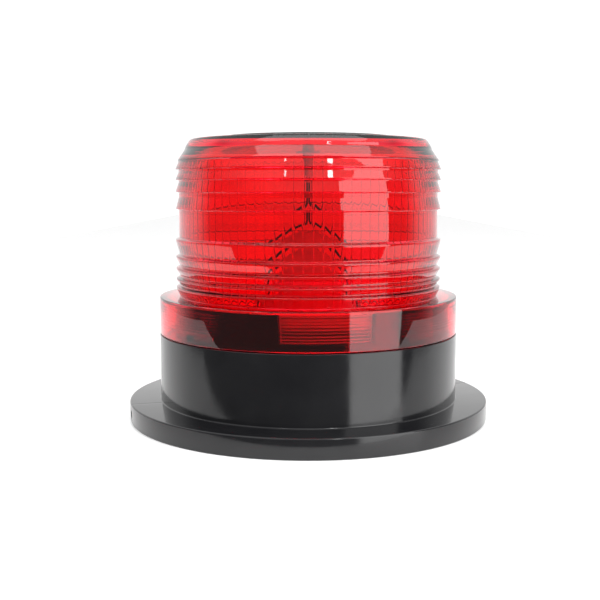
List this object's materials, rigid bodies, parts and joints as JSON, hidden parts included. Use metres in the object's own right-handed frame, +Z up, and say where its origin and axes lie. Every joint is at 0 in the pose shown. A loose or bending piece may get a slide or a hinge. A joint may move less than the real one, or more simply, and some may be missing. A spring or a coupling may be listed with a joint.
{
  "type": "barricade warning light",
  "caption": "Round solar warning beacon: red ribbed lens on a black flanged base with a pot magnet, opened by a bayonet twist.",
  "frame": {"origin": "centre of the flange's underside, on the surface that the light stands on", "axes": "+Z up along the lamp's axis through the lens, -Y the front, +X to the right seen from the front"},
  "size_m": [0.12, 0.12, 0.093],
  "materials": {
    "black_gloss": "gloss",
    "black_matte": "satin",
    "lens_red": "gloss",
    "resin_clear": "gloss",
    "white_plastic": "satin",
    "led_resin": "gloss",
    "board_green": "satin",
    "component_black": "satin",
    "capacitor_sleeve": "gloss",
    "screw_steel": "satin",
    "magnet_steel": "zinc plated",
    "magnet_ferrite": "matt",
    "contact_nickel": "bright",
    "battery_can": "gloss sleeve",
    "seal_rubber": "matt",
    "rubber_white": "matt",
    "panel_black": "gloss",
    "cell_blue": "gloss",
    "wire_black": "satin",
    "wire_red": "satin",
    "knob_white": "satin"
  },
  "bodies": {
    "base_unit": {"base_housing": "black_gloss", "lens_seal": "seal_rubber", "cover_gasket": "seal_rubber", "main_board": "board_green", "board_screws": "screw_steel", "control_chip": "component_black", "capacitor": "capacitor_sleeve", "inductor": "component_black", "resistors": "component_black", "reflector": "white_plastic", "reflector_bell": "white_plastic", "leds": "led_resin", "bottom_cover": "black_matte", "cover_screws": "screw_steel", "magnet_cup": "magnet_steel", "magnet": "magnet_ferrite", "magnet_screw": "screw_steel", "switch_body": "screw_steel", "battery": "battery_can", "battery_holder": "black_matte", "positive_contact": "contact_nickel", "negative_contact": "contact_nickel", "contact_spring": "contact_nickel", "panel_lead_left": "wire_black", "panel_lead_right": "wire_black", "battery_leads": "wire_red", "switch_leads": "wire_black"},
    "lens_unit": {"lens": "lens_red", "lead_grommet": "rubber_white", "panel_gasket": "rubber_white", "panel_tray": "black_matte", "solar_panel": "panel_black", "solar_cells": "cell_blue", "panel_resin": "resin_clear"},
    "switch_slider": {"switch_knob": "knob_white"}
  },
  "joints": [
    {"name": "lens_twist", "type": "hinge", "parent": "base_unit", "child": "lens_unit", "pos_m": [0, 0, 0.0288], "axis": [0, 0, 1], "range_deg": [0, 18]},
    {"name": "switch_slide", "type": "slide", "parent": "base_unit", "child": "switch_slider", "axis": [1, 0, 0], "range_m": [0, 0.003]}
  ]
}
